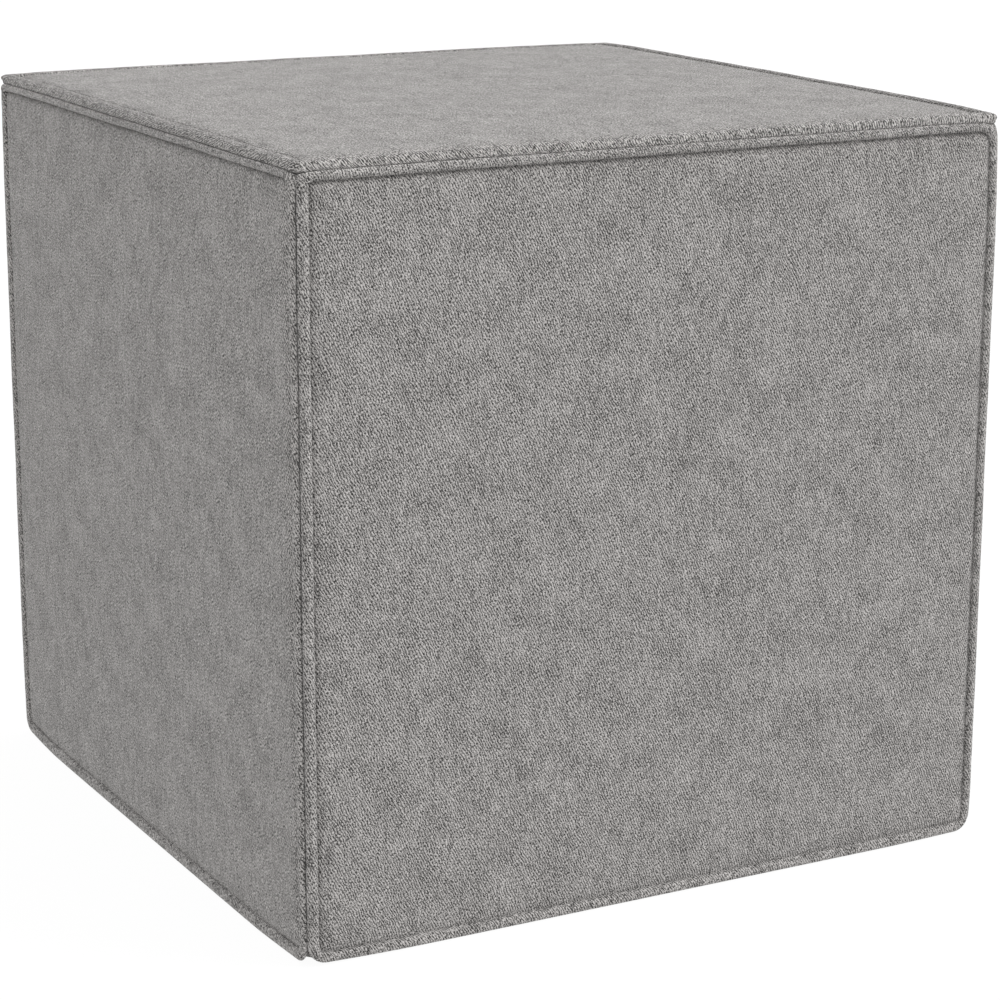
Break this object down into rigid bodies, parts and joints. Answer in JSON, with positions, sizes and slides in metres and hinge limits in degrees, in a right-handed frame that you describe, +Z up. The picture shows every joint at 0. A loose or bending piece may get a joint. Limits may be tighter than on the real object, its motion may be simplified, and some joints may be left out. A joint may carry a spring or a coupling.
{
  "type": "cube pouf stool",
  "caption": "Soft cube seat or footrest: sewn grey cloth panels with rolled rims round a firm filling, standing flat on the floor.",
  "frame": {"origin": "middle of the underside, on the floor", "axes": "+Z up, the front face towards -Y, the left face of the front view towards -X"},
  "size_m": [0.4562, 0.4562, 0.4436],
  "materials": {
    "grey_weave": "matt heathered grey upholstery weave with short slanting flecks"
  },
  "bodies": {
    "root": {"top_panel": "grey_weave", "base_panel": "grey_weave", "front_panel": "grey_weave", "back_panel": "grey_weave", "left_panel": "grey_weave", "right_panel": "grey_weave"}
  },
  "joints": []
}
